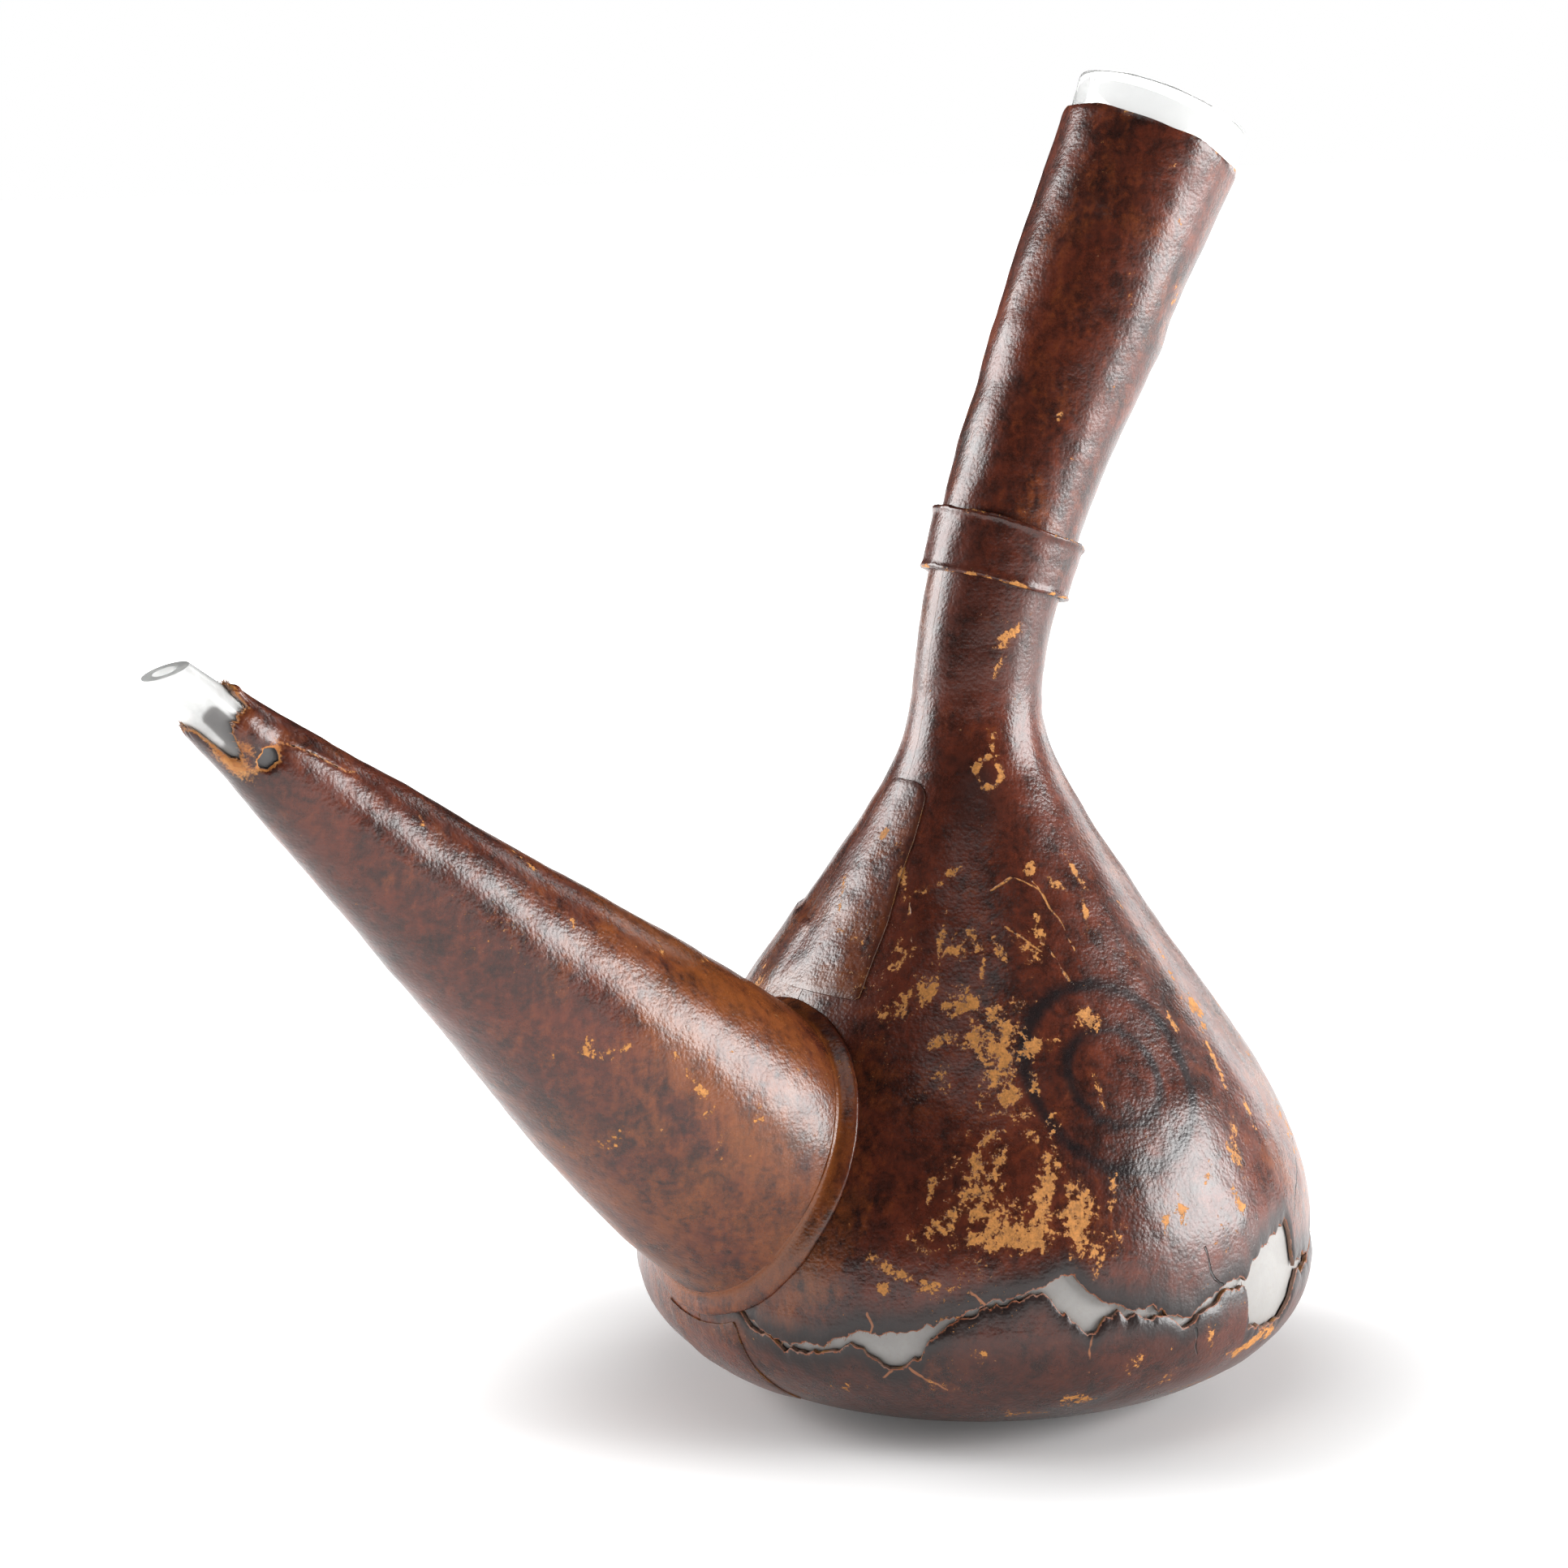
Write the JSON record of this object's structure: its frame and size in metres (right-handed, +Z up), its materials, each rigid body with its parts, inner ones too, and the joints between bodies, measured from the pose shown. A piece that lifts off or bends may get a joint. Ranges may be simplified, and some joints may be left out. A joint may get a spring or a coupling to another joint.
{
  "type": "leather-covered glass porron pitcher",
  "caption": "Hand-held drinking pitcher: a conical blown-glass body with a leaning neck and a long tapered spout, covered in glued brown leather.",
  "frame": {"origin": "centre of the leather base disc's flat underside, on the axis of the conical body", "axes": "+Z up along the body's axis; the spout points to -X and the neck leans to +X; +Y completes the right-handed frame"},
  "size_m": [0.2691, 0.1448, 0.2771],
  "materials": {
    "clear_glass": "clear, fire-polished, faintly grey, dusty inside",
    "brown_leather": "glossy dark red-brown glazed leather, cracked and flaked to tan",
    "band_leather": "glossy red-brown leather with tan worn edges",
    "dark_leather": "scuffed dark brown leather"
  },
  "bodies": {
    "root": {"glass_vessel": "clear_glass", "base_disc": "dark_leather", "body_panel_front": "brown_leather", "body_panel_back": "brown_leather", "base_skirt_front": "brown_leather", "spout_side_gore": "brown_leather", "spout_lower_strip": "brown_leather", "back_gore": "brown_leather", "neck_sleeve": "brown_leather", "neck_band": "band_leather", "spout_sleeve": "brown_leather", "spout_collar": "brown_leather"}
  },
  "joints": []
}
